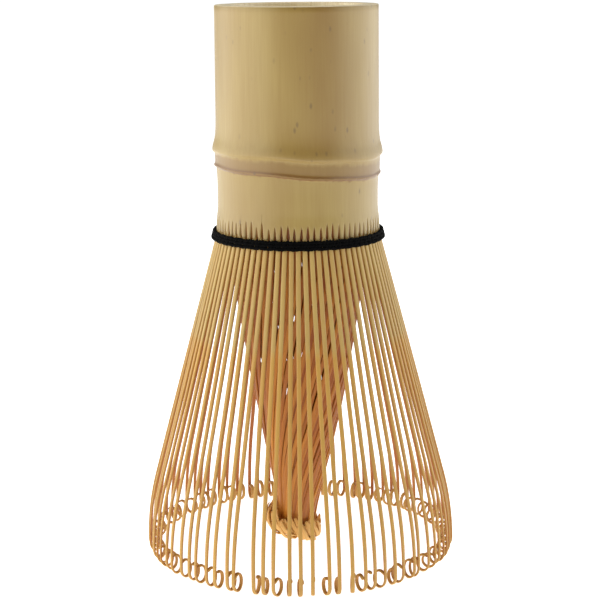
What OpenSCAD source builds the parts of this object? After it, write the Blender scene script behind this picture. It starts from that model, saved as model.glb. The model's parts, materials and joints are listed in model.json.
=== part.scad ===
// Bamboo tea whisk, cut from one length of culm and bound with one thread.
// It stands on the curled tips of its outer tines, handle up: the tips rest on z = 0
// and +Z runs up the middle of the culm.
// The culm's wall is split into staves, and each stave into alternate outer and inner
// tines. The outer tines splay; the inner tines are drawn in and twisted into a cone.

/* [Heights] */
// Height of the binding thread above the tips of the outer tines
tines_h = 63; // [50:0.1:75]
// Height of the culm's node ridge above the binding thread
collar_h = 12.3; // [10:0.1:16]
// Height of the handle's cut end above the node ridge
grip_h = 30.7; // [25:0.1:45]

/* [Handle culm] */
// Outer diameter of the grip at its cut end
grip_d = 31; // [25:0.1:38]
// Thickness of the grip's wall round its hollow
grip_wall = 2.9; // [2:0.1:4]
// Thickness of the diaphragm that closes the culm at its node
diaphragm_t = 2.4; // [1.5:0.1:4]
// How far the soft ledge above the node stands out
ledge_t = 0.8; // [0.3:0.05:1.5]
// How far the sharp ridge at the node stands out
ridge_t = 0.55; // [0.2:0.05:1]
// Thickness of the shaved collar where it ends in teeth
collar_wall = 2.6; // [2.3:0.05:3.2]
// Height of the slits between the collar's teeth
slit_h = 3.2; // [2:0.1:5]
// Width of the slits at the bottom of the collar
slit_w = 0.5; // [0.3:0.05:0.7]

/* [Outer tines] */
// Number of staves that the culm's wall is split into
staves = 16; // [12:2:20]
// Number of outer tines, and of inner tines, cut from each stave
tines_per_stave = 5; // [3:1:6]
// Diameter over the outer tines where they are widest
spread_d = 60.3; // [50:0.1:74]
// Gap between neighbouring outer tines at the thread
tine_gap = 0.35; // [0.25:0.05:0.5]
// Thickness of an outer tine at the thread
root_t = 0.7; // [0.5:0.05:0.9]
// Thickness of an outer tine at its tip
tip_t = 0.38; // [0.3:0.02:0.5]
// Width of an outer tine at its tip
tip_w = 0.75; // [0.5:0.05:0.9]
// Radius of the long bend that brings the splayed tines upright near their tips
bend_r = 52; // [35:1:70]
// Width of the curl at a tine's tip, on its middle line
curl_w = 2.4; // [1.8:0.1:3.2]
// Height of the curl at a tine's tip, on its middle line
curl_h = 3.2; // [2.4:0.1:4.2]
// How far round the curl goes, in degrees
curl_turn = 285; // [200:5:295]

/* [Inner tines] */
// Radius of the cone's shell where its upper layer of tips starts to curl
cone_r = 3.6; // [3.5:0.1:5]
// Radius of the lower layer of tips, inside the cone's shell
core_r = 2.6; // [2.5:0.05:3.2]
// Height at which the upper layer of tips starts to curl
cone_z = 7.2; // [6:0.1:9]
// Height at which the lower layer of tips starts to curl
core_z = 2.9; // [2.6:0.1:4]
// Width and thickness of an inner tine
inner_t = 0.34; // [0.25:0.01:0.36]
// How far the upper layer is twisted, in degrees, clockwise going down
cone_twist = 40; // [20:5:50]
// How far the lower layer is twisted, in degrees, clockwise going down
core_twist = 60; // [30:5:70]
// Radius of the hook at the end of an inner tine
hook_r = 1.15; // [0.9:0.05:1.3]

/* [Binding thread] */
// Thickness of the binding thread
thread_d = 0.6; // [0.5:0.05:0.8]
// Number of rounds of thread outside the outer tines
outer_rounds = 3; // [2:1:3]
// Number of rounds of thread between the outer and the inner tines
inner_rounds = 2; // [1:1:2]
// Gap between the thread and the tines that flex beside it
thread_gap = 0.12; // [0.1:0.01:0.2]

/* [Hidden] */
$fn = 96;

// Heights above the tips
node_z = tines_h + collar_h;
whisk_h = node_z + grip_h;
thread_slack = 0.02;
thread_pitch = thread_d + thread_slack;
band_h = thread_pitch * (outer_rounds - 1) + thread_d;
joint_gap = 0.2;
root_top = tines_h + band_h / 2;
collar_z = root_top + joint_gap;

// Radii of the culm
grip_r = grip_d / 2;
bore_r = grip_r - grip_wall;
teeth_flare = 0.15;
teeth_r = grip_r + teeth_flare;
collar_waist = 0.1;
collar_in_r = teeth_r - collar_wall;
flare_h = slit_h + 1.8;
slit_top_w = 0.08;
slit_over = 0.5;
slit_mouth_w = slit_w + (slit_w - slit_top_w) * slit_over / slit_h;
rim_edge = 0.35;

// The ledge above the node, and the ridge at it
ledge_rise = 3.1;
ledge_half = 3;
ridge_half = 0.7;
ring_step = 0.5;
diaphragm_drop = 0.4;

// Directions round the culm
stave_turn = 360 / staves;
tine_turn = stave_turn / tines_per_stave;

// Outer tines: the pivot is on the tine's middle line, level with the thread
pivot_r = teeth_r - root_t / 2;
root_w = 2 * PI * pivot_r / (staves * tines_per_stave) - tine_gap;
widest_r = spread_d / 2 - tip_t / 2;
curl_a = curl_w / 2;
curl_b = curl_h / 2;
curl_z = curl_b + tip_t / 2;
bend_x = widest_r - bend_r;
bend_reach = norm([pivot_r - bend_x, tines_h - curl_z]);
splay = atan2(tines_h - curl_z, pivot_r - bend_x) - acos(bend_r / bend_reach);
bend_steps = 5;
// the curl's bottom quarter, which stands on z = 0, and then the rest of its turn
quarter_steps = 4;
rest_steps = 9;
curl_angles = concat(
    [for (i = [0:quarter_steps]) 90 * i / quarter_steps],
    [for (i = [1:rest_steps]) 90 + (curl_turn - 90) * i / rest_steps]
);

// Inner tines: they leave the collar's underside inside the inner rounds of thread
inner_thread_r = teeth_r - root_t - thread_gap - thread_d / 2;
inner_root_r = inner_thread_r - thread_d / 2 - thread_gap - inner_t / 2;
inner_over = 1;
hook_turn = 150;
hook_steps = 6;

// Thread
crossing_gap = 0.08;
crossing_w = tine_gap - 2 * crossing_gap;
crossing_h = 1.5 * thread_d;
round_gap_turn = 4;
knuckle_d = thread_d * 1.12;
knuckle_in = thread_d * 0.2;

function stave_name(kind, i) = str(kind, "_", i < 10 ? "0" : "", i);

// A smooth bump, 1 in the middle and 0 from u = 1 outwards
function bump(u) = abs(u) < 1 ? (1 + cos(180 * u)) / 2 : 0;

// Outer radius of the culm above the collar's flare
function culm_r(z) = grip_r - collar_waist * bump((z - collar_z - flare_h) / collar_h)
    + ledge_t * bump((z - node_z - ledge_rise) / ledge_half)
    + ridge_t * bump((z - node_z) / ridge_half);

// Unit direction from point a to point b
function toward(a, b) = (b - a) / norm(b - a);

// The direction of a path at point i, from its neighbours
function heading(path, i) = toward(path[max(i - 1, 0)], path[min(i + 1, len(path) - 1)]);

// A path's outline: every point pushed half the thickness to one side, then back along the other
function side(path, thick, way) = [
    for (i = [0:len(path) - 1])
        path[i] + way * thick[i] / 2 * [-heading(path, i)[1], heading(path, i)[0]]
];
function ribbon(path, thick) = let (back = side(path, thick, -1)) concat(
    side(path, thick, 1),
    [for (i = [len(back) - 1:-1:0]) back[i]]
);

// Thickness of an outer tine at height z
function tine_t(z) = tip_t + (root_t - tip_t) * max(z - curl_h, 0) / (tines_h - curl_h);

// Middle line of an outer tine, radius against height: root, splay, long bend, curl
tine_path = concat(
    [[pivot_r, root_top], [pivot_r, tines_h]],
    [
        for (i = [0:bend_steps - 1])
            let (a = splay * (1 - i / bend_steps))
                [bend_x + bend_r * cos(a), curl_z + bend_r * sin(a)]
    ],
    [for (a = curl_angles) [widest_r - curl_a + curl_a * cos(a), curl_z - curl_b * sin(a)]]
);
tine_thick = [for (p = tine_path) tine_t(p[1])];

module outer_tine() {
    intersection() {
        rotate([90, 0, 0])
            linear_extrude(root_w, center = true)
                polygon(ribbon(tine_path, tine_thick));
        // the tine narrows from the thread down to its tip
        rotate([90, 0, 90])
            linear_extrude(spread_d)
                polygon([
                    [-tip_w / 2, -1], [tip_w / 2, -1], [tip_w / 2, curl_h],
                    [root_w / 2, tines_h], [root_w / 2, root_top + 1],
                    [-root_w / 2, root_top + 1], [-root_w / 2, tines_h], [-tip_w / 2, curl_h]
                ]);
    }
}

module outer_tines(i) {
    color("burlywood")
        for (j = [0:tines_per_stave - 1])
            rotate([0, 0, stave_turn * (i - 1) + tine_turn * (j - (tines_per_stave - 1) / 2)])
                outer_tine();
}

// Middle line of an inner tine in its own plane: a straight run down, then a hook outward and up
function hooked_path(run) = concat(
    [[0, inner_over], [0, -run]],
    [
        for (i = [1:hook_steps])
            let (a = hook_turn * i / hook_steps)
                [hook_r - hook_r * cos(a), -run - hook_r * sin(a)]
    ]
);

// One inner tine from the root ring at direction root_a to the point (end_r, end_a, end_z)
module inner_tine(root_a, end_r, end_a, end_z) {
    turn = end_a - root_a;
    reach = [end_r * cos(turn) - inner_root_r, end_r * sin(turn), end_z - collar_z];
    run = norm(reach);
    path = hooked_path(run);
    rotate([0, 0, root_a])
        translate([inner_root_r, 0, collar_z])
            rotate([asin(reach[1] / run), atan2(-reach[0], -reach[2]), 0])
                rotate([90, 0, turn])
                    linear_extrude(inner_t, center = true)
                        polygon(ribbon(path, [for (p = path) inner_t]));
}

// Every other inner tine ends in the upper layer of tips, and the rest in the lower layer.
// Their tops are cut level where they meet the collar's underside.
module inner_tines(i) {
    color("peru")
        difference() {
            for (j = [0:tines_per_stave - 1]) {
                root_a = stave_turn * (i - 1) + tine_turn * (j - (tines_per_stave - 2) / 2);
                if (((i - 1) * tines_per_stave + j) % 2 == 0)
                    inner_tine(root_a, cone_r, root_a - cone_twist, cone_z);
                else
                    inner_tine(root_a, core_r, root_a - core_twist, core_z);
            }
            translate([0, 0, collar_z])
                cylinder(h = 3 * inner_over, r = grip_d);
        }
}

module handle_culm() {
    ring_from = collar_z + flare_h;
    ring_to = node_z + ledge_rise + ledge_half;
    rings = ceil((ring_to - ring_from) / ring_step);
    outline = concat(
        [[collar_in_r, collar_z], [teeth_r, collar_z]],
        [
            for (i = [0:rings])
                let (z = ring_from + (ring_to - ring_from) * i / rings)
                    [culm_r(z), z]
        ],
        [
            [grip_r, whisk_h - rim_edge], [grip_r - rim_edge, whisk_h],
            [bore_r, whisk_h], [bore_r, node_z - diaphragm_drop + diaphragm_t],
            [0, node_z - diaphragm_drop + diaphragm_t], [0, node_z - diaphragm_drop],
            [collar_in_r, node_z - diaphragm_drop]
        ]
    );
    color("wheat")
        difference() {
            rotate_extrude()
                polygon(outline);
            // pointed slits between the collar's teeth
            for (k = [0:staves * tines_per_stave - 1])
                rotate([0, 0, tine_turn * (k - (tines_per_stave - 2) / 2)])
                    translate([pivot_r - root_t, 0, 0])
                        rotate([90, 0, 90])
                            linear_extrude(grip_wall)
                                polygon([
                                    [-slit_mouth_w / 2, collar_z - slit_over],
                                    [slit_mouth_w / 2, collar_z - slit_over],
                                    [slit_top_w / 2, collar_z + slit_h],
                                    [-slit_top_w / 2, collar_z + slit_h]
                                ]);
        }
}

// A round of thread at radius r and height z, open by a small turn where it steps to the next
module thread_round(r, z) {
    open_turn = round_gap_turn + 2 * knuckle_in / r * 180 / PI;
    rotate([0, 0, open_turn / 2])
        translate([0, 0, z])
            rotate_extrude(angle = 360 - open_turn)
                translate([r, 0])
                    circle(d = thread_d, $fn = 24);
}

// The thread's step from the end of one round to the start of the next, with a knuckle at each
module thread_step(a, b) {
    run = b - a;
    long = norm(run);
    translate(a) {
        sphere(d = knuckle_d, $fn = 24);
        rotate([0, acos(run[2] / long), atan2(run[1], run[0])])
            translate([0, 0, knuckle_in])
                cylinder(h = long - 2 * knuckle_in, d = thread_d, $fn = 24);
    }
    translate(b)
        sphere(d = knuckle_d, $fn = 24);
}

// Radius and height of outer round k, counted from the top: it lies on the splaying tines
function outer_round_z(k) = tines_h + band_h / 2 - thread_d / 2 - thread_pitch * k;
function outer_round_r(k) = teeth_r + thread_gap + thread_d / 2
    + max(tines_h - outer_round_z(k) + thread_d / 2, 0) * tan(splay);
function inner_round_z(k) = tines_h + thread_pitch * ((inner_rounds - 1) / 2 - k);

function at_turn(r, a, z) = [r * cos(a), r * sin(a), z];

module binding_thread() {
    color("#1c1c22") {
        for (k = [0:outer_rounds - 1])
            thread_round(outer_round_r(k), outer_round_z(k));
        for (k = [0:1:outer_rounds - 2])
            thread_step(at_turn(outer_round_r(k), -round_gap_turn / 2, outer_round_z(k)),
                at_turn(outer_round_r(k + 1), round_gap_turn / 2, outer_round_z(k + 1)));
        for (k = [0:inner_rounds - 1])
            thread_round(inner_thread_r, inner_round_z(k));
        for (k = [0:1:inner_rounds - 2])
            thread_step(at_turn(inner_thread_r, -round_gap_turn / 2, inner_round_z(k)),
                at_turn(inner_thread_r, round_gap_turn / 2, inner_round_z(k + 1)));
        // between the staves the thread is pinched flat as it passes from outside to inside
        for (i = [0:staves - 1])
            rotate([0, 0, stave_turn * (i + 0.5)])
                translate([inner_thread_r, -crossing_w / 2, tines_h - crossing_h / 2])
                    cube([outer_round_r(1) - inner_thread_r, crossing_w, crossing_h]);
    }
}

handle_culm();
binding_thread();
for (i = [1:staves]) {
    outer_tines(i);
    inner_tines(i);
}
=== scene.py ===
# A bamboo tea whisk: one culm split into springy tines, bound with black cotton thread.
import json
import math

import bpy
import numpy as np
from mathutils import Matrix, Vector


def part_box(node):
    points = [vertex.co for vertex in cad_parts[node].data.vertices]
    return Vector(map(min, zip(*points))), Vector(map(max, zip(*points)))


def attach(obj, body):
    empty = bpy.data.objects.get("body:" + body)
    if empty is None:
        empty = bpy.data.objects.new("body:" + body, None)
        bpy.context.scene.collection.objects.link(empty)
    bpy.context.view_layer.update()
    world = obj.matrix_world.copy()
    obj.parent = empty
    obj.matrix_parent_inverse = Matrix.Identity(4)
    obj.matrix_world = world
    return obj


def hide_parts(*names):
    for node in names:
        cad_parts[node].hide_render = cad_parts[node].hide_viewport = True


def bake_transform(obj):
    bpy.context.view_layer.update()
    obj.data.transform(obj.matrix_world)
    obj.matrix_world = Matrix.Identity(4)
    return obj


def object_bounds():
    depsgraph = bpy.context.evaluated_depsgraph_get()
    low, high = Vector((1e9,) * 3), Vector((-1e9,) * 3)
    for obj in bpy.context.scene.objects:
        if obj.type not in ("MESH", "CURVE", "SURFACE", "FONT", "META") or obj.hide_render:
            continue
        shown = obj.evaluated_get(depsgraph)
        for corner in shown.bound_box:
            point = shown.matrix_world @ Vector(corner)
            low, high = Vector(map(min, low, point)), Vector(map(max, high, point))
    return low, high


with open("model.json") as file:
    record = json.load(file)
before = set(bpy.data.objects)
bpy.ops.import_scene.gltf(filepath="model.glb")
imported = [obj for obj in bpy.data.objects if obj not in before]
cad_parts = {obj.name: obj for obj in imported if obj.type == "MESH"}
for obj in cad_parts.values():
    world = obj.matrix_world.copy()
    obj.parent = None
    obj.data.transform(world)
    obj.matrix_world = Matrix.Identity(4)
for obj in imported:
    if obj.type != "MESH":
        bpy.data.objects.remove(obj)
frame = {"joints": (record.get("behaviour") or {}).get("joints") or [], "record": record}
cadLow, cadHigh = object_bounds()
mm = 0.001

# ---- places that the frame gives, in metres
tineLow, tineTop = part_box("outer_tines_01")
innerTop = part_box("inner_tines_01")[1]
culmLow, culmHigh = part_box("handle_culm")
flexJoints = frame["joints"]
staveCount = len(flexJoints)
pivotR = math.hypot(*flexJoints[0]["pos_m"][:2])
pivotZ = flexJoints[0]["pos_m"][2]
bore = [mount for mount in frame["record"]["mounts"] if mount["name"] == "handle_bore"][0]
boreR = bore["dims"]["r_mm"] * mm
boreFloor = bore["pos_m"][2] - bore["dims"]["length_mm"] / 2 * mm
tinesPerStave = 5
tineCount = staveCount * tinesPerStave
tineTurn = 2 * math.pi / tineCount
grainApart = 0.5   # how far apart the tines' own places lie in the grain, so that no two match


# ---- small helpers for meshes

def smoothStep(low, high, x):  # 0 below low, 1 above high, and 3t^2 - 2t^3 between
    t = np.clip((x - low) / (high - low), 0, 1)
    return t * t * (3 - 2 * t)


def bell(x, middle, halfWidth):  # a bump that is 1 in the middle and falls as exp(-(x/w)^2)
    return np.exp(-(((x - middle) / halfWidth) ** 2))


def around(angle):  # unit vectors that lie flat at the given angles: (cos a, sin a, 0)
    return np.stack([np.cos(angle), np.sin(angle), np.zeros_like(angle)], -1)


def unit(v):  # each vector over its own length
    return v / np.linalg.norm(v, axis=-1, keepdims=True)


def gridQuads(rows, columns):
    # four corners of each cell of a grid of points, (r, c) (r, c+1) (r+1, c+1) (r+1, c); the last
    # column is joined to the first
    r, c = np.meshgrid(np.arange(rows - 1), np.arange(columns), indexing="ij")
    below, beside = r + 1, (c + 1) % columns
    quads = [r * columns + c, r * columns + beside, below * columns + beside, below * columns + c]
    return np.stack(quads, -1).reshape(-1, 4)


def makePiece(name, points, faces, material, values=None, vectors=None):
    # one smooth mesh object at the origin; values and vectors are kept as attributes on its points
    mesh = bpy.data.meshes.new(name)
    mesh.from_pydata(points.reshape(-1, 3).tolist(), [], faces)
    for label, numbers in (values or {}).items():
        layer = mesh.attributes.new(label, "FLOAT", "POINT")
        layer.data.foreach_set("value", np.asarray(numbers, np.float32).ravel())
    for label, numbers in (vectors or {}).items():
        layer = mesh.attributes.new(label, "FLOAT_VECTOR", "POINT")
        layer.data.foreach_set("vector", np.asarray(numbers, np.float32).ravel())
    mesh.polygons.foreach_set("use_smooth", np.ones(len(mesh.polygons), bool))
    mesh.materials.append(material)
    mesh.update()
    piece = bpy.data.objects.new(name, mesh)
    bpy.context.scene.collection.objects.link(piece)
    return piece


def sweptStrips(middle, side, halfWide, halfThick, squareness, corners):
    # A section is carried along each middle line: |x|^n + |y|^n = 1, x across the strip and y
    # through it. middle and side are (strips, rings, 3), the half sizes are (strips, rings).
    ahead = unit(np.gradient(middle, axis=1))
    across = unit(side - (side * ahead).sum(-1, keepdims=True) * ahead)
    out = np.cross(ahead, across)
    theta = np.linspace(0, 2 * math.pi, corners, endpoint=False) + math.pi / corners
    x = np.sign(np.cos(theta)) * np.abs(np.cos(theta)) ** (2 / squareness)
    y = np.sign(np.sin(theta)) * np.abs(np.sin(theta)) ** (2 / squareness)
    points = (middle[:, :, None]
              + across[:, :, None] * (halfWide[..., None] * x)[..., None]
              + out[:, :, None] * (halfThick[..., None] * y)[..., None])
    strips, rings = middle.shape[:2]
    first = (np.arange(strips) * rings * corners)[:, None, None]
    sides = (gridQuads(rings, corners)[None] + first).reshape(-1, 4).tolist()
    ring = np.arange(corners)
    caps = (first[:, 0] + ring[::-1]).tolist() + (first[:, 0] + (rings - 1) * corners + ring).tolist()
    return points, sides + caps, x, y


def roundedEnd(share, start):  # 1 up to start, then a quarter circle down to about a third at 1
    return np.sqrt(np.clip(1 - ((share - start) / (1 - start)) ** 2 * (share > start), 0.12, 1))


def tineSpace(apart, wide, thick, length, x, y):
    # a place inside each tine for its grain: across, through, and the length run along it
    return np.stack(np.broadcast_arrays(
        apart[:, 0][:, None, None] + wide[..., None] / 2 * x,
        apart[:, 1][:, None, None] + thick[..., None] / 2 * y,
        length[..., None]), -1)


# ---- shader helpers

def place(tree, kind, **settings):
    # one node; a setting that names a property sets it, and any other sets the input of that name
    node = tree.nodes.new(kind)
    for label, value in settings.items():
        if hasattr(node, label):
            setattr(node, label, value)
        else:
            node.inputs[label.replace("_", " ")].default_value = value
    return node


def ramp(tree, source, stops):
    # a soft colour ramp with its stops given as (place, colour)
    node = tree.nodes.new("ShaderNodeValToRGB")
    node.color_ramp.interpolation = "EASE"
    while len(node.color_ramp.elements) < len(stops):
        node.color_ramp.elements.new(0.5)
    for element, (at, colour) in zip(node.color_ramp.elements, stops):
        element.position = at
        element.color = (*colour, 1)
    tree.links.new(source, node.inputs["Fac"])
    return node.outputs["Color"]


def mathNode(tree, operation, a, b, clamp=False):  # one sum on two numbers or sockets
    node = tree.nodes.new("ShaderNodeMath")
    node.operation = operation
    node.use_clamp = clamp
    for socket, value in zip(node.inputs, (a, b)):
        if isinstance(value, bpy.types.NodeSocket):
            tree.links.new(value, socket)
        else:
            socket.default_value = value
    return node.outputs["Value"]


def mixTone(tree, amount, a, b, strength=1):
    # a + (b - a) * amount * strength; each colour is a socket or a tone
    node = tree.nodes.new("ShaderNodeMix")
    node.data_type = "RGBA"
    colours = [socket for socket in node.inputs if socket.type == "RGBA"]
    if strength < 1:
        amount = mathNode(tree, "MULTIPLY", amount, strength)
    tree.links.new(amount, node.inputs[0])
    for socket, value in zip(colours, (a, b)):
        if isinstance(value, bpy.types.NodeSocket):
            tree.links.new(value, socket)
        else:
            socket.default_value = (*value, 1)
    return [socket for socket in node.outputs if socket.type == "RGBA"][0]


def newMaterial(name):
    material = bpy.data.materials.new(name)
    material.use_nodes = True
    return material, material.node_tree, material.node_tree.nodes["Principled BSDF"]


def tone(red, green, blue):
    # a screen colour, 0 to 255, as a shader's linear numbers: ((c / 255 + 0.055) / 1.055)^2.4
    return tuple(((c / 255 + 0.055) / 1.055) ** 2.4 for c in (red, green, blue))


def newGroup(name, inputs, outputs):
    # a shader node group with named sockets; gives the group and the sockets inside it
    group = bpy.data.node_groups.new(name, "ShaderNodeTree")
    for label, kind, value in inputs:
        socket = group.interface.new_socket(label, in_out="INPUT", socket_type=kind)
        if value is not None:
            socket.default_value = value
    for label, kind in outputs:
        group.interface.new_socket(label, in_out="OUTPUT", socket_type=kind)
    return group, group.nodes.new("NodeGroupInput").outputs, group.nodes.new("NodeGroupOutput").inputs


def useGroup(tree, group, vector, **values):
    # one use of a node group in a material, with its own values; gives the group's outputs
    node = tree.nodes.new("ShaderNodeGroup")
    node.node_tree = group
    tree.links.new(vector, node.inputs["Vector"])
    for label, value in values.items():
        node.inputs[label].default_value = value
    return node.outputs


def scaledVector(tree, vector, factors):  # the vector times a factor each way
    node = tree.nodes.new("ShaderNodeVectorMath")
    node.operation = "MULTIPLY"
    tree.links.new(vector, node.inputs[0])
    node.inputs[1].default_value = factors
    return node.outputs["Vector"]


def noise(tree, vector, scale, detail=3.0, roughness=0.55):
    # a noise's 0 to 1 value at a vector; the scale is a number or a socket
    node = place(tree, "ShaderNodeTexNoise", Detail=detail, Roughness=roughness)
    tree.links.new(vector, node.inputs["Vector"])
    if isinstance(scale, bpy.types.NodeSocket):
        tree.links.new(scale, node.inputs["Scale"])
    else:
        node.inputs["Scale"].default_value = scale
    return node.outputs["Fac"]


# ---- effects that the bamboo finishes share

def makeFibreGroup():
    # long fibres up Z: fine and coarse noise squeezed along Z, and their sum as a streak and a height
    group, given, result = newGroup(
        "bambooFibres", [("Vector", "NodeSocketVector", None), ("Fineness", "NodeSocketFloat", 2400.0)],
        [("Streak", "NodeSocketFloat"), ("Height", "NodeSocketFloat")])
    drawn = scaledVector(group, given["Vector"], (1, 1, 0.035))
    fine = noise(group, drawn, given["Fineness"], 2.0, 0.6)
    coarse = noise(group, drawn, mathNode(group, "MULTIPLY", given["Fineness"], 0.22), 2.0)
    both = mathNode(group, "ADD", mathNode(group, "MULTIPLY", fine, 0.6),
                    mathNode(group, "MULTIPLY", coarse, 0.4))
    spread = place(group, "ShaderNodeMapRange", From_Min=0.34, From_Max=0.66)
    group.links.new(both, spread.inputs["Value"])
    group.links.new(spread.outputs["Result"], result["Streak"])
    group.links.new(fine, result["Height"])
    return group


def makeSpotGroup():
    # sparse grey-brown spots: the middles of Voronoi cells, a little drawn out along Z, kept only
    # where a slow noise is high
    group, given, result = newGroup(
        "weatherSpots",
        [("Vector", "NodeSocketVector", None), ("Density", "NodeSocketFloat", 260.0),
         ("Share", "NodeSocketFloat", 0.55), ("Size", "NodeSocketFloat", 0.16)],
        [("Mask", "NodeSocketFloat")])
    drawn = scaledVector(group, given["Vector"], (1, 1, 0.5))
    cells = place(group, "ShaderNodeTexVoronoi")
    group.links.new(drawn, cells.inputs["Vector"])
    group.links.new(given["Density"], cells.inputs["Scale"])
    inside = mathNode(group, "SUBTRACT", given["Size"], cells.outputs["Distance"])
    edge = mathNode(group, "MULTIPLY", inside, 9.0, clamp=True)
    where = noise(group, given["Vector"], 140.0, 1.0)
    above = mathNode(group, "SUBTRACT", where, given["Share"])
    kept = mathNode(group, "MULTIPLY", above, 14.0, clamp=True)
    group.links.new(mathNode(group, "MULTIPLY", edge, kept), result["Mask"])
    return group


def makeAgeGroup():
    # slow patches of lighter and darker bamboo, and the finer mottling on them
    group, given, result = newGroup(
        "bambooPatches", [("Vector", "NodeSocketVector", None), ("Scale", "NodeSocketFloat", 60.0)],
        [("Patch", "NodeSocketFloat"), ("Mottle", "NodeSocketFloat")])
    drawn = scaledVector(group, given["Vector"], (1, 1, 0.4))
    slow = noise(group, drawn, given["Scale"], 2.0)
    spread = place(group, "ShaderNodeMapRange", From_Min=0.35, From_Max=0.65)
    group.links.new(slow, spread.inputs["Value"])
    group.links.new(spread.outputs["Result"], result["Patch"])
    quick = noise(group, drawn, mathNode(group, "MULTIPLY", given["Scale"], 9.0), 3.0)
    group.links.new(quick, result["Mottle"])
    return group


fibreGroup, spotGroup, ageGroup = makeFibreGroup(), makeSpotGroup(), makeAgeGroup()


def finishSurface(tree, shader, colour, height, rough, bump, distance):
    # colour, a roughness that follows the fibres, and the fibres' relief as a bump
    tree.links.new(colour, shader.inputs["Base Color"])
    fromHeight = place(tree, "ShaderNodeMapRange", To_Min=rough[0], To_Max=rough[1])
    tree.links.new(height, fromHeight.inputs["Value"])
    tree.links.new(fromHeight.outputs["Result"], shader.inputs["Roughness"])
    relief = place(tree, "ShaderNodeBump", Strength=bump, Distance=distance)
    tree.links.new(height, relief.inputs["Height"])
    tree.links.new(relief.outputs["Normal"], shader.inputs["Normal"])


def attributeOf(tree, label, output="Fac"):  # what a mesh keeps at its points under that name
    return place(tree, "ShaderNodeAttribute", attribute_name=label).outputs[output]


# ---- the culm: hollow grip, node, collar and teeth in one skin

culm = {
    "columnsPerSlit": 10,
    # the slits between the teeth: pointed at the top, and their floor lies deeper in the wall
    "slitHeight": 2.3 * mm, "slitHeightVary": 0.36 * mm, "slitPower": 0.65, "slitLeast": 0.045 * mm,
    "slitWide": 0.53 * mm, "slitWideVary": 0.07 * mm, "slitDepth": 0.85 * mm,
    "slitDeepens": 2.5,                # the floor reaches its full depth this much sooner than the mouth
    "slitFloor": 0.8, "slitWall": 0.05 * mm, "slitAsideVary": 0.10 * mm,
    "teethReach": 0.5 * mm,            # how far the teeth run on down behind the thread
    "teethRound": 0.07 * mm, "teethFlare": (0.4 * mm, 4.5 * mm),
    "gripR": 15.5 * mm, "topR": 15.42 * mm, "collarR": 15.33 * mm, "teethR": 15.65 * mm,
    "waist": (-3.6 * mm, 5.4 * mm),    # the collar widens into the grip between these, from the ridge
    "taperUp": 9.4 * mm,               # the grip narrows again from this far above the ridge
    "ledgeUp": 3.3 * mm, "ledgeOut": 0.46 * mm, "ledgeAbove": 2.9 * mm, "ledgeBelow": 0.34 * mm,
    # the band between ledge and ridge stands a little proud, and fades out above the ledge
    "bandOut": 0.30 * mm, "bandFrom": (-0.5 * mm, 0.3 * mm), "bandFade": 2.6 * mm,
    "ridgeBelowBore": 2.0 * mm, "ridgeOut": 0.26 * mm, "ridgeHalf": 0.30 * mm,
    "scarOut": 0.10 * mm, "scarFade": 3.5 * mm,       # what stands out under the ridge
    "ridgeTilt": 0.95 * mm, "ledgeTilt": 0.55 * mm,   # both lie lower on the right
    # ridge and ledge wander by amplitude * sin(waves * angle + phase); the ledge does it more
    "wander": ((0.12 * mm, 3, 1.0), (0.07 * mm, 7, 2.2)), "ledgeWander": 1.6,
    "edge": 0.16 * mm, "collarInR": 13.05 * mm, "diaphragmThick": 2.4 * mm,
    "brownAt": -1.30, "brownWide": 0.36,   # direction and half width, in radians, of the painted shade on one side
    "brownRise": 6 * mm,
}


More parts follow.
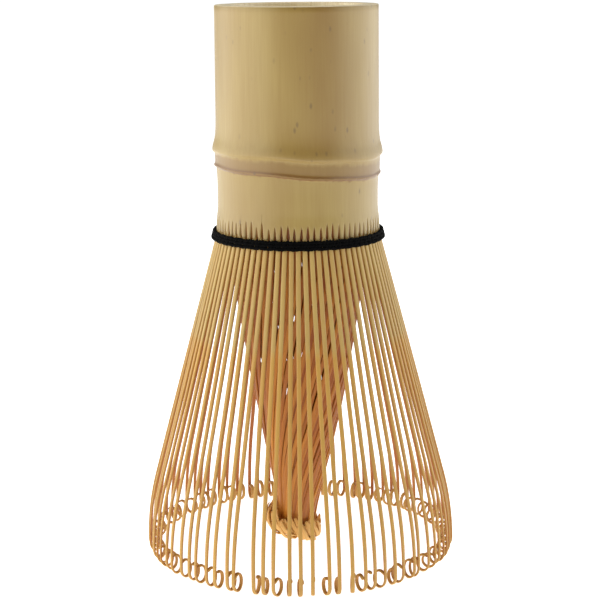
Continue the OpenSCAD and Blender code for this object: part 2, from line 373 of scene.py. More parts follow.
def culmRind():
    material, tree, shader = newMaterial("culmRind")
    where = tree.nodes.new("ShaderNodeTexCoord").outputs["Object"]
    fibres = useGroup(tree, fibreGroup, where, Fineness=2600.0)
    patches = useGroup(tree, ageGroup, where, Scale=70.0)
    spots = useGroup(tree, spotGroup, where, Density=460.0, Share=0.44, Size=0.17)
    fromRidge = attributeOf(tree, "fromRidge")  # millimetres above the ridge
    inSlit = attributeOf(tree, "inSlit")
    hollow = attributeOf(tree, "hollow")
    straw = mixTone(tree, patches["Patch"], tone(164, 139, 68), tone(150, 123, 54))
    straw = mixTone(tree, fibres["Streak"], straw, tone(140, 109, 40), 0.42)
    # painted shade: one side of the grip is painted darker, with a soft and patchy edge
    frontShadeAmount = mathNode(tree, "MULTIPLY", attributeOf(tree, "browned"),
                    mathNode(tree, "ADD", mathNode(tree, "MULTIPLY", patches["Patch"], 0.35), 0.5))
    straw = mixTone(tree, frontShadeAmount, straw, tone(130, 95, 30))
    # the band between ledge and ridge is browner, with a blotchy upper edge
    reach = mathNode(tree, "ADD", fromRidge, mathNode(tree, "MULTIPLY", patches["Mottle"], 1.6))
    band = ramp(tree, mathNode(tree, "MULTIPLY", reach, 0.1),
                [(0.02, (0, 0, 0)), (0.07, (1, 1, 1)), (0.27, (0.75, 0.75, 0.75)), (0.36, (0, 0, 0))])
    straw = mixTone(tree, band, straw, tone(122, 86, 8), 0.88)
    # the ridge: a pinkish-brown line with a pale crest
    line = ramp(tree, mathNode(tree, "ADD", mathNode(tree, "MULTIPLY", fromRidge, 0.5), 0.5),
                [(0.26, (0, 0, 0)), (0.36, (1, 1, 1)), (0.46, (0.15, 0.15, 0.15)),
                 (0.56, (0.25, 0.25, 0.25)), (0.64, (0.8, 0.8, 0.8)), (0.78, (0, 0, 0))])
    straw = mixTone(tree, line, straw, tone(112, 66, 22), 0.62)
    straw = mixTone(tree, spots["Mask"], straw, tone(96, 74, 38), 0.55)
    # the cut wood's pale cream, made paler still as painted light against the shade inside the bore
    cut = mixTone(tree, fibres["Streak"], tone(250, 236, 196), tone(232, 210, 160))
    straw = mixTone(tree, hollow, straw, cut)
    # the slits take the split wood's orange-brown, and more of it with depth as painted shade
    straw = mixTone(tree, inSlit, straw, tone(160, 88, 34))
    finishSurface(tree, shader, straw, fibres["Height"], rough=(0.36, 0.56), bump=0.16, distance=0.06 * mm)
    shader.inputs["Coat Weight"].default_value = 0.65
    shader.inputs["Coat Roughness"].default_value = 0.42
    return material


def culmProfile(slitTop, ridgeZ):
    # radius and height of each row: from the diaphragm's middle out, up the bore and over the cut end,
    # then down the rind, whose rows lie closer together where the shape turns, and back in under the
    # teeth and up to the diaphragm. The rind's radii are left at 0.
    s = culm
    topZ, lowZ = culmHigh.z, culmLow.z - s["teethReach"]
    diaphragmLow = boreFloor - s["diaphragmThick"]
    inside = [(boreR * share, boreFloor + up * mm) for share, up in ((0.35, 0), (0.8, 0.15), (0.985, 1.0))]
    inside += [(boreR, z) for z in np.linspace(boreFloor + 2.4 * mm, topZ - 0.25 * mm, 8)]
    inside += [(r, topZ) for r in (boreR + 0.2 * mm, boreR + 0.9 * mm,
                                   s["topR"] - 0.9 * mm, s["topR"] - s["edge"])]
    rind = [(topZ - s["edge"], topZ - s["edge"], 1), (topZ - 1.2 * mm, ridgeZ + 8.4 * mm, 16),
            (ridgeZ + 7.4 * mm, ridgeZ + 5.2 * mm, 5), (ridgeZ + 4.9 * mm, ridgeZ + 1.5 * mm, 18),
            (ridgeZ + 1.2 * mm, ridgeZ - 1.2 * mm, 17), (ridgeZ - 1.8 * mm, slitTop + 2.1 * mm, 7),
            (slitTop + 1.7 * mm, lowZ, 24)]
    rind = [(0, z) for first, last, count in rind for z in np.linspace(first, last, count)]
    under = [(s["teethR"] * 0.93, lowZ - 0.02 * mm), (s["collarInR"], lowZ)]
    under += [(s["collarInR"], z) for z in np.linspace(lowZ + 1.5 * mm, diaphragmLow - 0.4 * mm, 5)]
    under += [(s["collarInR"] * share, diaphragmLow) for share in (0.7, 0.3)]
    radii, heights = np.array(inside + rind + under).T
    return radii, heights, len(inside), len(rind)


def makeCulm():
    # Columns stand round the culm, ten to each slit. On the rind the radius is
    # collar + waist + flare of the teeth + band + ledge and ridge (bells of the height above them),
    # less the depth of the slits, which open downwards as (share of the slit's height)^power.
    s = culm
    rng = np.random.default_rng(21)
    slitTips = culmLow.z + s["slitHeight"] + rng.normal(0, s["slitHeightVary"], tineCount)
    slitHalf = (s["slitWide"] + rng.normal(0, s["slitWideVary"], tineCount)) / 2
    slitAside = rng.normal(0, s["slitAsideVary"], tineCount)
    ridgeZ, slitTop = boreFloor - s["ridgeBelowBore"], culmLow.z + s["slitHeight"]
    radii, heights, firstRind, rindRows = culmProfile(slitTop, ridgeZ)
    lip = firstRind + rindRows
    z, onRind = heights[:, None], np.zeros((len(heights), 1), bool)
    onRind[firstRind:lip] = True
    # columns: the slit each belongs to, its step from that slit's middle, and its place at the teeth
    halfSteps = s["columnsPerSlit"] // 2
    slit, step = np.divmod(np.arange(tineCount * s["columnsPerSlit"]), s["columnsPerSlit"])
    steps, way = np.abs(step - halfSteps), np.sign(step - halfSteps)
    halfPitch = math.pi * s["teethR"] / tineCount
    atTeeth = 1 - smoothStep(slitTop + 1.2 * mm, slitTop + 4.5 * mm, z)
    openTo = np.clip((slitTips[slit] - z) / s["slitHeight"], 0, 1)   # 0 at a slit's tip, 1 at its mouth
    half = np.maximum(slitHalf[slit] * openTo ** s["slitPower"], s["slitLeast"])
    wall = half + s["slitWall"]
    spread = np.where(steps <= 1, s["slitFloor"] * half * steps,
                      wall + (halfPitch - wall) * (steps - 2) / (halfSteps - 2))
    aside = (1 - atTeeth) * halfPitch * steps / halfSteps + atTeeth * spread
    shift = slitAside[slit] * atTeeth * (1 - steps / halfSteps)
    angle = (slit + 0.5) * tineTurn + (way * aside + shift) / s["teethR"]
    # the rind's radius
    tilt = -np.cos(angle)
    wander = sum(size * np.sin(waves * angle + phase) for size, waves, phase in s["wander"])
    ridgeAt = ridgeZ + s["ridgeTilt"] * tilt + wander
    ledgeAt = ridgeZ + s["ledgeUp"] + s["ledgeTilt"] * tilt + s["ledgeWander"] * wander
    waist = smoothStep(ridgeZ + s["waist"][0], ridgeZ + s["waist"][1], z)
    taper = smoothStep(ridgeZ + s["taperUp"], culmHigh.z, z)
    flare = 1 - smoothStep(culmLow.z + s["teethFlare"][0], culmLow.z + s["teethFlare"][1], z)
    band = (smoothStep(ridgeAt + s["bandFrom"][0], ridgeAt + s["bandFrom"][1], z)
            * (1 - smoothStep(ledgeAt, ledgeAt + s["bandFade"], z)))
    ledgeHalf = np.where(z > ledgeAt, s["ledgeAbove"], s["ledgeBelow"])
    scar = (1 - smoothStep(0, s["scarFade"], ridgeAt - z)) * (z < ridgeAt)
    rindR = (s["collarR"] + (s["gripR"] - s["collarR"]) * waist + (s["topR"] - s["gripR"]) * taper
             + (s["teethR"] - s["collarR"]) * flare + s["bandOut"] * band
             + s["ledgeOut"] * bell(z, ledgeAt, ledgeHalf)
             + s["ridgeOut"] * bell(z, ridgeAt, s["ridgeHalf"]) + s["scarOut"] * scar)
    floorShare = np.where(steps == 0, 1.0, np.where(steps == 1, 0.9, 0))
    depth = s["slitDepth"] * np.minimum(openTo * s["slitDeepens"], 1) * floorShare
    toEdge = np.clip((steps - 2) / (halfSteps - 2) - 1, -1, 0) ** 2
    rounding = s["teethRound"] * atTeeth * smoothStep(0.0, 1.0, openTo) * toEdge * (steps >= 2)
    radius = np.where(onRind, rindR - depth - rounding, radii[:, None])
    # the underside of the teeth follows the slits in
    radius[lip] = np.minimum(radius[lip], radius[lip - 1] - 0.05 * mm)
    points = around(angle) * radius[..., None]
    points[..., 2] = z
    rows, columns = angle.shape
    flat = points.reshape(-1, 3)
    # one point closes the middle of the diaphragm's upper side, and one its underside
    poles = np.array([[0, 0, boreFloor - 0.1 * mm], [0, 0, boreFloor - s["diaphragmThick"] + 0.1 * mm]])
    faces = gridQuads(rows, columns)[:, ::-1].tolist()
    ring, following = np.arange(columns), (np.arange(columns) + 1) % columns
    faces += np.stack([ring, following, np.full(columns, len(flat))], -1).tolist()
    last = (rows - 1) * columns
    faces += np.stack([last + following, last + ring, np.full(columns, len(flat) + 1)], -1).tolist()
    # what the rind's colours follow; off the rind, and at the two poles, each has one fixed value
    fromRidge = np.where(onRind, (z - ridgeAt) / mm, 30)
    # share of a slit's depth: the split wood's colour, and painted shade deeper in
    inSlit = onRind * np.clip(depth / s["slitDepth"] * 1.3, 0, 1)
    hollow = np.where(onRind, 0.0, 1.0) + np.zeros(columns)
    # painted shade on one side of the grip, rising in above the ridge
    browned = bell((angle - s["brownAt"] + math.pi) % (2 * math.pi) - math.pi, 0, s["brownWide"])
    browned = browned * smoothStep(ridgeZ, ridgeZ + s["brownRise"], z) * onRind
    values = {"fromRidge": (fromRidge, 30), "inSlit": (inSlit, 0),
              "hollow": (hollow, 1), "browned": (browned, 0)}
    piece = makePiece("culm", np.concatenate([flat, poles]), faces, culmRind(), values={
        label: np.append(numbers, [atPole, atPole]) for label, (numbers, atPole) in values.items()})
    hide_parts("handle_culm")
    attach(piece, "handle")
    print("culm made:", len(piece.data.polygons), "faces")


# ---- outer tines: they leave the culm upright, splay, come upright again and curl in at the tips

outerTine = {
    "rootWide": 0.92 * mm, "tipWide": 0.72 * mm, "rootThick": 0.68 * mm, "tipThick": 0.42 * mm,
    "squareness": 3.2,
    "topUp": 0.25 * mm, "pinchDown": 0.3 * mm, "pinchWide": 0.72, "pinchThick": 0.62,   # its top end
    "bendR": 52 * mm, "rootSoft": 0.55 * mm, "ringPower": 1.7,
    "curlWide": 2.1 * mm, "curlHigh": 3.2 * mm, "curlTurn": 316, "curlTurnVary": 12,
    "curlSizeVary": 0.07, "liftTo": 14 * mm,          # a taller curl lifts the tine up to this height
    "spreadVary": 0.007, "asideVary": 0.72, "bowVary": 0.10 * mm,
    # the curl is turned out of the tine's own plane, and drifts sideways towards its end
    "yawVary": 11.0, "yawFan": 15.0, "yawDown": 0.2 * mm, "yawTo": 12 * mm,
    "driftVary": 0.28 * mm, "driftPower": 1.5, "tipFrom": 0.93,
    "straightRings": 22, "bendRings": 8, "curlRings": 26, "corners": 12,
    "fleshAt": 0.35, "fleshSlope": 1.4, "curlPale": 0.7,   # the shaved side; it shows less in the curl
    "bendEnd": 20 * mm,               # the length along the tine that a flexing stave's bend would span
    "shavedFrom": 0.705, "shavedTo": 0.675,   # shares of the pivot's height between which the rind ends
}
widestR = tineTop.x - outerTine["tipThick"] / 2
curlZ = tineLow.z + (outerTine["curlHigh"] + outerTine["tipThick"]) / 2
bendX = widestR - outerTine["bendR"]
splay = (math.atan2(pivotZ - curlZ, pivotR - bendX)
         - math.acos(outerTine["bendR"] / math.hypot(pivotR - bendX, pivotZ - curlZ)))


def outerTineBamboo():
    material, tree, shader = newMaterial("outerTineBamboo")
    along = attributeOf(tree, "tineSpace", "Vector")
    fibres = useGroup(tree, fibreGroup, along, Fineness=3800.0)
    where = tree.nodes.new("ShaderNodeTexCoord").outputs["Object"]
    patches = useGroup(tree, ageGroup, where, Scale=160.0)
    height = place(tree, "ShaderNodeSeparateXYZ")
    tree.links.new(where, height.inputs[0])
    down = place(tree, "ShaderNodeMapRange", From_Min=outerTine["shavedFrom"] * pivotZ,
                 From_Max=outerTine["shavedTo"] * pivotZ)
    tree.links.new(height.outputs["Z"], down.inputs["Value"])
    rind = mixTone(tree, down.outputs["Result"], tone(190, 162, 92), tone(197, 152, 66))
    rind = mixTone(tree, attributeOf(tree, "tineShade"), rind, tone(174, 130, 62), 0.35)
    rind = mixTone(tree, fibres["Streak"], rind, tone(174, 132, 70), 0.3)
    rind = mixTone(tree, patches["Patch"], rind, tone(166, 118, 56), 0.15)
    flesh = mixTone(tree, fibres["Streak"], tone(190, 122, 44), tone(168, 92, 26))
    rind = mixTone(tree, attributeOf(tree, "fleshSide"), rind, flesh)
    finishSurface(tree, shader, rind, fibres["Height"], rough=(0.38, 0.58), bump=0.2, distance=0.04 * mm)
    return material


def makeOuterTines():
    # Each tine's middle line is radius against height: a straight run whose corner at the thread is
    # softened as k ln(1 + exp(drop / k)), an arc that brings it upright, and an ellipse curling in.
    # Turned by the tine's direction, it is the line that a rounded-off rectangle is swept along.
    s = outerTine
    rng = np.random.default_rng(34)
    startZ, straightEnd = tineTop.z + s["topUp"], curlZ + s["bendR"] * math.sin(splay)
    runZ = startZ + (straightEnd - startZ) * (
        np.linspace(0, 1, s["straightRings"], endpoint=False) ** s["ringPower"])
    runR = pivotR + math.tan(splay) * s["rootSoft"] * np.logaddexp(0, (pivotZ - runZ) / s["rootSoft"])
    bend = np.linspace(splay, 0, s["bendRings"], endpoint=False)
    # how each tine differs from the next
    turns = np.radians(s["curlTurn"] + rng.normal(0, s["curlTurnVary"], tineCount))[:, None]
    wider, taller = 1 + rng.normal(0, s["curlSizeVary"], (2, tineCount, 1))
    grow = 1 + rng.normal(0, s["spreadVary"], tineCount)[:, None]
    lean = np.radians(rng.normal(0, s["asideVary"], tineCount))[:, None]
    direction = (np.arange(tineCount)[:, None] - (tinesPerStave - 1) / 2) * tineTurn
    yaw = rng.normal(0, s["yawVary"], tineCount)[:, None]
    yaw = np.radians(yaw - s["yawFan"] * np.tanh(3 * np.sin(2 * direction)))
    drift = rng.normal(0, s["driftVary"], tineCount)[:, None]
    shade = rng.random(tineCount)[:, None, None]
    bowOut, bowAside = rng.normal(0, s["bowVary"], (2, tineCount, 1))
    # the stem is the same for all but its lift; the curl stands on the floor and is scaled from there
    stemR = np.concatenate([runR, bendX + s["bendR"] * np.cos(bend), np.full(s["curlRings"], widestR)])
    stemZ = np.concatenate([runZ, curlZ + s["bendR"] * np.sin(bend)])
    inCurl = np.arange(len(stemR)) >= len(stemZ)
    curlShare = np.append(np.zeros(len(stemZ)), np.linspace(0, 1, s["curlRings"]))
    curl = turns * curlShare
    onFloor, curlHalf = tineLow.z + s["tipThick"] / 2, s["curlHigh"] / 2
    lifted = stemZ + curlHalf * (taller - 1) * (1 - smoothStep(curlZ, s["liftTo"], stemZ))
    curled = onFloor + (curlZ - curlHalf * np.sin(curl[:, inCurl]) - onFloor) * taller
    height = np.concatenate([lifted, curled], 1)
    inward = s["curlWide"] / 2 * wider * (1 - np.cos(curl))
    share = np.clip((pivotZ - height) / (pivotZ - curlZ), 0, 1)
    bow = np.sin(math.pi * share)
    angle = direction + lean * share
    stem = pivotR + (stemR - pivotR) * grow + bowOut * bow
    turned = yaw * np.where(inCurl, 1, 1 - smoothStep(curlZ - s["yawDown"], s["yawTo"], height))
    across = around(angle + turned + math.pi / 2)
    aside = bowAside * bow + drift * curlShare ** s["driftPower"]
    middle = (around(angle) * stem[..., None] - around(angle + turned) * inward[..., None]
              + across * aside[..., None])
    middle[..., 2] = height
    # the section narrows down the tine, is pinched at the top and rounded off at the tip
    down = np.clip((pivotZ - height) / pivotZ, 0, 1)
    pinch = smoothStep(tineTop.z - s["pinchDown"], startZ, height)
    tip = roundedEnd(curlShare, s["tipFrom"])
    wide = s["rootWide"] + (s["tipWide"] - s["rootWide"]) * down
    thick = s["rootThick"] + (s["tipThick"] - s["rootThick"]) * down
    wide = wide * (1 - (1 - s["pinchWide"]) * pinch) * (0.45 + 0.55 * tip)
    thick = thick * (1 - (1 - s["pinchThick"]) * pinch) * tip
    length = np.cumsum(np.linalg.norm(np.diff(middle, axis=1, prepend=middle[:, :1]), axis=-1), 1)
    apart = rng.random((tineCount, 2)) * grainApart
    material = outerTineBamboo()
    for stave, joint in enumerate(flexJoints):
        own = slice(stave * tinesPerStave, (stave + 1) * tinesPerStave)
        points, faces, x, y = sweptStrips(middle[own], across[own], wide[own] / 2, thick[own] / 2,
                                          s["squareness"], s["corners"])
        shaved = np.clip(s["fleshAt"] - s["fleshSlope"] * y, 0, 1)
        flesh = shaved * (1 - s["curlPale"] * (curl[own] > 0))[..., None]
        piece = makePiece(
            joint["child"].replace("tines_", "outerTines"), points, faces, material,
            values={"tineShade": np.broadcast_to(shade[own], points.shape[:3]), "fleshSide": flesh},
            vectors={"tineSpace": tineSpace(apart[own], wide[own], thick[own], length[own], x, y)})
        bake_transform(piece)
        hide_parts("outer_" + joint["child"])
    print("outer tines made:", tineCount)


# ---- inner tines: drawn together and twisted into a cone, their ends hooked into a knot

innerTine = {
    "rootUp": 0.5 * mm, "thick": 0.36 * mm, "squareness": 3.0, "endFrom": 0.97,
    "wideShares": (0, 0.3, 0.6, 0.85, 1.0),
    "wides": (0.96 * mm, 0.96 * mm, 0.84 * mm, 0.84 * mm, 0.86 * mm),
    "twist": 78, "twistPower": 1.8,
    # the cone's radius at shares of the way down to the knot
    "coneShares": (0, 0.444, 0.526, 0.634, 0.742, 0.85, 0.938, 1.0),
    "coneRadii": (13.94 * mm, 10.1 * mm, 9.15 * mm, 7.9 * mm, 6.5 * mm, 5.1 * mm, 3.7 * mm, 3.4 * mm),
    # layerShade darkens the inner layer of tines as painted shade under the outer layer
    "layerIn": 0.3 * mm, "layerShade": 0.3, "axisAside": -0.65 * mm, "asideFrom": 32 * mm,
    # the tines gather in clumps, by degrees * the mean of three sines of the tine's number
    "clumping": 2.6 / 1.8, "clumpWaves": ((0.61, 0.4), (1.13, 2.1), (0.31, 4.0)),
    "stray": 1.1, "atKnot": 0.3,
    # the tips curl out and up on an ellipse; it is widest and highest on the left
    "knotZ": 4.75 * mm, "knotTilt": 1.25 * mm, "knotVary": 0.22 * mm,
    "curlOut": 1.0 * mm, "curlOutTilt": 0.4 * mm, "curlOutVary": 0.12 * mm, "curlOutLeast": 0.35 * mm,
    "curlUp": 2.15 * mm, "curlUpTilt": 0.45 * mm, "curlUpVary": 0.25 * mm,
    "curlTurn": 225, "curlTurnVary": 20, "curlSweep": 52, "curlSweepVary": 7,
    "smoothings": 2, "leastUp": 0.35 * mm,
    "runRings": 28, "curlRings": 20, "knotRings": 4, "corners": 10,
}


def innerTineBamboo():
    material, tree, shader = newMaterial("innerTineBamboo")
    along = attributeOf(tree, "tineSpace", "Vector")
    fibres = useGroup(tree, fibreGroup, along, Fineness=3200.0)
    shade = attributeOf(tree, "tineShade")
    # tineShade: each tine's random tone, and painted shade on the inner layer
    wood = mixTone(tree, shade, tone(202, 132, 30), tone(154, 80, 8))
    wood = mixTone(tree, fibres["Streak"], wood, tone(120, 56, 4), 0.4)
    knot = mixTone(tree, fibres["Streak"], tone(232, 190, 110), tone(214, 162, 82))
    wood = mixTone(tree, attributeOf(tree, "inKnot"), wood, knot)
    finishSurface(tree, shader, wood, fibres["Height"], rough=(0.42, 0.62), bump=0.14, distance=0.05 * mm)
    return material


def makeInnerTines():
    # A tine runs from the collar's underside to the knot: its radius follows the cone's outline and
    # its direction turns by twist * share^power. Then it curls outwards and up on an ellipse, and the
    # whole line is averaged with its neighbours a few times so that the curl flows out of the run.
    s = innerTine
    rng = np.random.default_rng(55)
    tine = np.arange(tineCount)[:, None]
    rootTurn = (tine - (tinesPerStave - 2) / 2) * tineTurn
    layer = tine % 2

    def varied(middle, spread):  # one value a tine, as a column
        return middle + rng.normal(0, spread, tineCount)[:, None]

    share = np.linspace(0, 1, s["runRings"])
    cone = np.interp(share, s["coneShares"], s["coneRadii"])
    waves = sum(np.sin(tine * step + phase) for step, phase in s["clumpWaves"])
    astray = np.radians(varied(s["clumping"] * waves, s["stray"]))
    toLeft = -np.cos(rootTurn - math.radians(s["twist"] + s["curlSweep"] / 2))
    knotZ = varied(s["knotZ"] + s["knotTilt"] * toLeft, s["knotVary"])
    curlOut = varied(s["curlOut"] + s["curlOutTilt"] * toLeft, s["curlOutVary"])
    curlOut = np.maximum(curlOut, s["curlOutLeast"])
    curlUp = varied(s["curlUp"] + s["curlUpTilt"] * toLeft, s["curlUpVary"])
    turns = np.radians(varied(s["curlTurn"], s["curlTurnVary"]))
    # the run: clumps open out below the roots and close up again towards the knot
    topZ = innerTop.z + s["rootUp"]
    settle = smoothStep(0.0, 0.5, share) * (1 - (1 - s["atKnot"]) * smoothStep(0.6, 1.0, share))
    inward = (layer + rng.uniform(0, 1, tineCount)[:, None]) * s["layerIn"]
    radius = cone - inward * smoothStep(0.1, 0.8, share)
    angle = rootTurn - math.radians(s["twist"]) * share ** s["twistPower"] + astray * settle
    run = around(angle) * radius[..., None]
    run[..., 2] = topZ + (knotZ - topZ) * share
    # the curls are swept on round the knot, so each lies over the next
    curlShare = np.linspace(0, 1, s["curlRings"])[1:]
    turn = turns * curlShare
    curlAngle = angle[:, -1:] - np.radians(varied(s["curlSweep"], s["curlSweepVary"])) * curlShare
    curl = around(curlAngle) * (radius[:, -1:] + curlOut * (1 - np.cos(turn)))[..., None]
    curl[..., 2] = knotZ - curlUp * np.sin(turn)
    line = np.concatenate([run, curl], 1)
    for _ in range(s["smoothings"]):
        line[:, 1:-1] = 0.25 * line[:, :-2] + 0.5 * line[:, 1:-1] + 0.25 * line[:, 2:]
    line[..., 2] = np.maximum(line[..., 2], tineLow.z + s["leastUp"])
    line[..., 0] += s["axisAside"] * (1 - smoothStep(s["knotZ"], s["asideFrom"], line[..., 2]))
    side = around(np.concatenate([angle, curlAngle], 1) + math.pi / 2)
    length = np.cumsum(np.linalg.norm(np.diff(line, axis=1, prepend=line[:, :1]), axis=-1), 1)
    progress = length / length[:, -1:]
    end = roundedEnd(progress, s["endFrom"])
    wide = np.interp(progress, s["wideShares"], s["wides"]) * (0.4 + 0.6 * end)
    thick = s["thick"] * end
    # a random tone for each tine, plus painted shade on the inner layer, which lies under the outer one
    shade = rng.random(tineCount)[:, None] * (1 - s["layerShade"]) + s["layerShade"] * layer
    inKnot = smoothStep(s["runRings"] - 1, s["runRings"] + s["knotRings"], np.arange(line.shape[1]))
    apart = rng.random((tineCount, 2)) * grainApart
    material = innerTineBamboo()
    for stave, joint in enumerate(flexJoints):
        own = slice(stave * tinesPerStave, (stave + 1) * tinesPerStave)
        points, faces, x, y = sweptStrips(line[own], side[own], wide[own] / 2, thick[own] / 2,
                                          s["squareness"], s["corners"])
        full = points.shape[:3]
        piece = makePiece(
            joint["child"].replace("tines_", "innerTines"), points, faces, material,
            values={"tineShade": np.broadcast_to(shade[own][..., None], full),
                    "inKnot": np.broadcast_to(inKnot[:, None], full)},
            vectors={"tineSpace": tineSpace(apart[own], wide[own], thick[own], length[own], x, y)})
        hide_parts("inner_" + joint["child"])
        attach(piece, "handle")
    print("inner tines made:", tineCount)


# ---- binding thread: three-ply cotton, three rounds outside the outer tines and two inside

thread = {
    "thick": 0.6 * mm, "plies": 3, "plyThick": 0.42 * mm, "plyOut": 0.17 * mm, "twistLength": 2.0 * mm,
    "outerRounds": 3, "innerRounds": 2, "pitch": 0.56 * mm, "stepFrom": 0.86,
    "sag": 0.2 * mm, "outerR": 16.07 * mm, "innerR": 14.53 * mm, "pullIn": 0.05 * mm, "weave": 0.05 * mm,
    "ringsPerTwist": 7, "corners": 7,
    # where it crosses between the staves, pinched flat
    "crossWide": 0.19 * mm, "crossHigh": 0.9 * mm, "crossOver": 0.1 * mm, "crossRings": 7, "crossSquare": 2.4,
}


def blackCotton():
    material, tree, shader = newMaterial("blackCotton")
    along = attributeOf(tree, "threadSpace", "Vector")
    fluff = noise(tree, scaledVector(tree, along, (1, 1, 0.12)), 9000.0, 3.0)
    colour = ramp(tree, fluff, [(0.3, tone(1, 1, 1)), (0.7, tone(7, 7, 6))])
    finishSurface(tree, shader, colour, fluff, rough=(0.72, 0.95), bump=0.5, distance=0.05 * mm)
    shader.inputs["Sheen Weight"].default_value = 0.01
    shader.inputs["Sheen Roughness"].default_value = 0.5
    shader.inputs["Specular IOR Level"].default_value = 0.06
    return material


def woundThread(rounds, topZ, innermost, slope, startTurn):
    # A line wound on the tines: level rounds, each stepping down one pitch towards its end, pulled in
    # between tines as cos(80 a) and weaving up and down as sin(40 a). Its radius grows by the slope
    # below the pivot. The plies turn round the line.
    s = thread

    def radiusAt(height):
        return innermost + np.maximum(pivotZ - height + s["thick"] / 2, 0) * slope

    length = rounds * 2 * math.pi * radiusAt(topZ)
    count = int(length / s["twistLength"] * s["ringsPerTwist"])
    turn = np.linspace(0, rounds, count)
    level = np.minimum(np.floor(turn) + smoothStep(s["stepFrom"], 1.0, turn % 1), rounds - 1)
    angle = startTurn + 2 * math.pi * turn
    z = topZ - s["pitch"] * level
    outward = around(angle)
    line = outward * (radiusAt(z) + s["pullIn"] * np.cos(angle * tineCount))[:, None]
    line[:, 2] = z + s["weave"] * np.sin(angle * tineCount / 2 + math.pi * np.floor(turn))
    lay = (2 * math.pi * np.linspace(0, length / s["twistLength"], count)
           + 2 * math.pi / s["plies"] * np.arange(s["plies"])[:, None])
    upward = np.array([0, 0, 1.0])
    plies = line + s["plyOut"] * (np.cos(lay)[..., None] * outward + np.sin(lay)[..., None] * upward)
    size = np.full(plies.shape[:2], s["plyThick"] / 2)
    return sweptStrips(plies, np.broadcast_to(outward, plies.shape), size, size, 2.0, s["corners"])[:2]


def threadCrossings():
    # between two staves the thread runs straight from the inner rounds out to the outer ones
    s = thread
    gap = (np.arange(staveCount) + 0.5) * 2 * math.pi / staveCount
    reach = np.linspace(s["innerR"] - s["crossOver"], s["outerR"] + s["crossOver"], s["crossRings"])
    line = around(gap)[:, None] * reach[:, None]
    line[..., 2] = pivotZ
    side = np.broadcast_to(around(gap + math.pi / 2)[:, None], line.shape)
    size = np.ones(line.shape[:2])
    return sweptStrips(line, side, size * s["crossWide"] / 2, size * s["crossHigh"] / 2,
                       s["crossSquare"], s["corners"])[:2]


def makeThread():
    # the outer rounds lie on the splaying tines, so each is wider than the one above it
    s = thread
    start = math.pi / 2 + tineTurn / 2
    outer = woundThread(s["outerRounds"], pivotZ - s["sag"] + s["pitch"] * (s["outerRounds"] - 1) / 2,
                        s["outerR"], math.tan(splay), start)
    inner = woundThread(s["innerRounds"], pivotZ + s["pitch"] * (s["innerRounds"] - 1) / 2,
                        s["innerR"], 0, start)
    points, faces, first = [], [], 0
    for partPoints, partFaces in (outer, inner, threadCrossings()):
        points.append(partPoints.reshape(-1, 3))
        faces += [[corner + first for corner in face] for face in partFaces]
        first += len(points[-1])
    points = np.concatenate(points)
    turn = np.arctan2(points[:, 1], points[:, 0])
    space = np.stack([np.hypot(points[:, 0], points[:, 1]), points[:, 2], turn * s["outerR"]], -1)
    piece = makePiece("bindingThread", points, faces, blackCotton(), vectors={"threadSpace": space})
    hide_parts("binding_thread")
    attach(piece, "handle")
    print("thread made:", len(piece.data.polygons), "faces")


# ---- floor, light and camera

studio = {
    "cameraPlace": (0.00026, -0.3135, 0.1154), "cameraDown": 11.89, "cameraRoll": -0.45, "lens": 98.97,
    "aimAt": (0.0, 0.0, 0.055), "worldLight": 0.22,
    "floorR": 30.0, "floorCorners": 96, "floorDown": 0.05 * mm, "floorGlow": 0.87,
    # soft boxes: place, width and height, watts, colour. The side ones stand on the floor, close
    # enough to be mirrored in the culm's sides.
    "boxes": {
        "leftBox": ((-0.36, -0.04, 0.20), (0.8, 0.4), 2.0, (1.0, 0.99, 0.97)),
        "rightBox": ((0.38, 0.08, 0.20), (0.7, 0.4), 1.3, (0.97, 0.985, 1.0)),
        "topBox": ((0.0, 0.25, 0.75), (0.6, 0.6), 1.2, (1.0, 1.0, 1.0))},
}


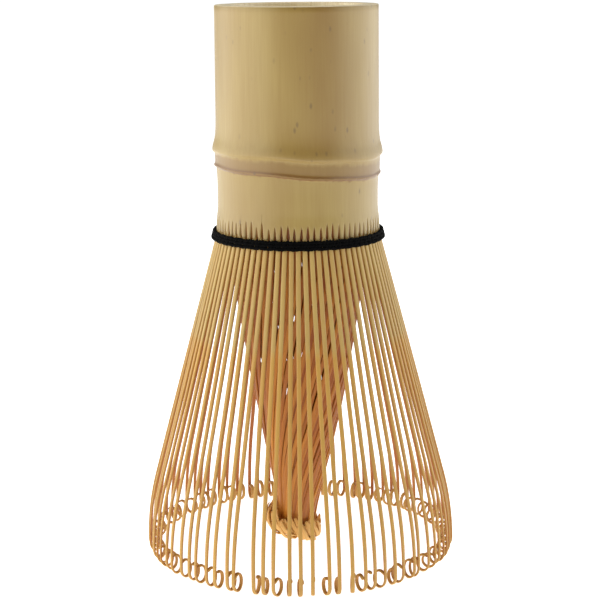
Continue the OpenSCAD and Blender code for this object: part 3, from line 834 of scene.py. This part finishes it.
def makeFloor():  # a pale disc just under the tips, a little self-lit so that it stays white
    material, tree, shader = newMaterial("paleFloor")
    where = tree.nodes.new("ShaderNodeTexCoord").outputs["Object"]
    soft = noise(tree, where, 3.0, 2.0)
    pale = ramp(tree, soft, [(0.3, (0.93, 0.93, 0.93)), (0.7, (0.96, 0.96, 0.96))])
    tree.links.new(pale, shader.inputs["Base Color"])
    shader.inputs["Roughness"].default_value = 0.9
    shader.inputs["Specular IOR Level"].default_value = 0.1
    shader.inputs["Emission Color"].default_value = (1, 1, 1, 1)
    shader.inputs["Emission Strength"].default_value = studio["floorGlow"]
    count = studio["floorCorners"]
    rim = around(np.linspace(0, 2 * math.pi, count, endpoint=False)) * studio["floorR"]
    rim[:, 2] = cadLow.z - studio["floorDown"]
    mesh = bpy.data.meshes.new("floor")
    mesh.from_pydata(rim.tolist(), [], [list(range(count))])
    mesh.materials.append(material)
    floor = bpy.data.objects.new("floor", mesh)
    bpy.context.scene.collection.objects.link(floor)


def softBox(name, at, size, watts, tint):  # an area lamp aimed at the whisk, unseen by the camera
    light = bpy.data.lights.new(name, "AREA")
    light.shape = "RECTANGLE"
    light.size, light.size_y = size
    light.energy = watts
    light.color = tint
    lamp = bpy.data.objects.new(name, light)
    lamp.location = at
    lamp.rotation_euler = (Vector(studio["aimAt"]) - Vector(at)).to_track_quat("-Z", "Y").to_euler()
    lamp.visible_camera = False
    bpy.context.scene.collection.objects.link(lamp)


def makeStudio():  # soft boxes in a pale room
    for name, settings in studio["boxes"].items():
        softBox(name, *settings)
    world = bpy.data.worlds.new("paleRoom")
    world.use_nodes = True
    # the room is white to the camera, and dimmer as a light
    seen = world.node_tree.nodes.new("ShaderNodeLightPath").outputs["Is Camera Ray"]
    background = world.node_tree.nodes["Background"]
    background.inputs["Color"].default_value = (1, 1, 1, 1)
    strength = mathNode(world.node_tree, "MAXIMUM", seen, studio["worldLight"])
    world.node_tree.links.new(strength, background.inputs["Strength"])
    bpy.context.scene.world = world
    bpy.context.scene.view_settings.view_transform = "Standard"


def makeCamera():  # a long lens, looking a little down
    s = studio
    camera = bpy.data.cameras.new("camera")
    camera.lens = s["lens"]
    camera.sensor_width = 36
    camera.clip_start, camera.clip_end = 0.01, 100
    holder = bpy.data.objects.new("camera", camera)
    tilt = Matrix.Rotation(math.radians(90 - s["cameraDown"]), 3, "X")
    roll = Matrix.Rotation(math.radians(s["cameraRoll"]), 3, "Z")
    holder.rotation_euler = (tilt @ roll).to_euler()
    holder.location = s["cameraPlace"]
    bpy.context.scene.collection.objects.link(holder)
    bpy.context.scene.camera = holder


makeCamera()
makeFloor()
makeStudio()
makeCulm()
makeThread()
makeInnerTines()
makeOuterTines()
print("whisk assembled")
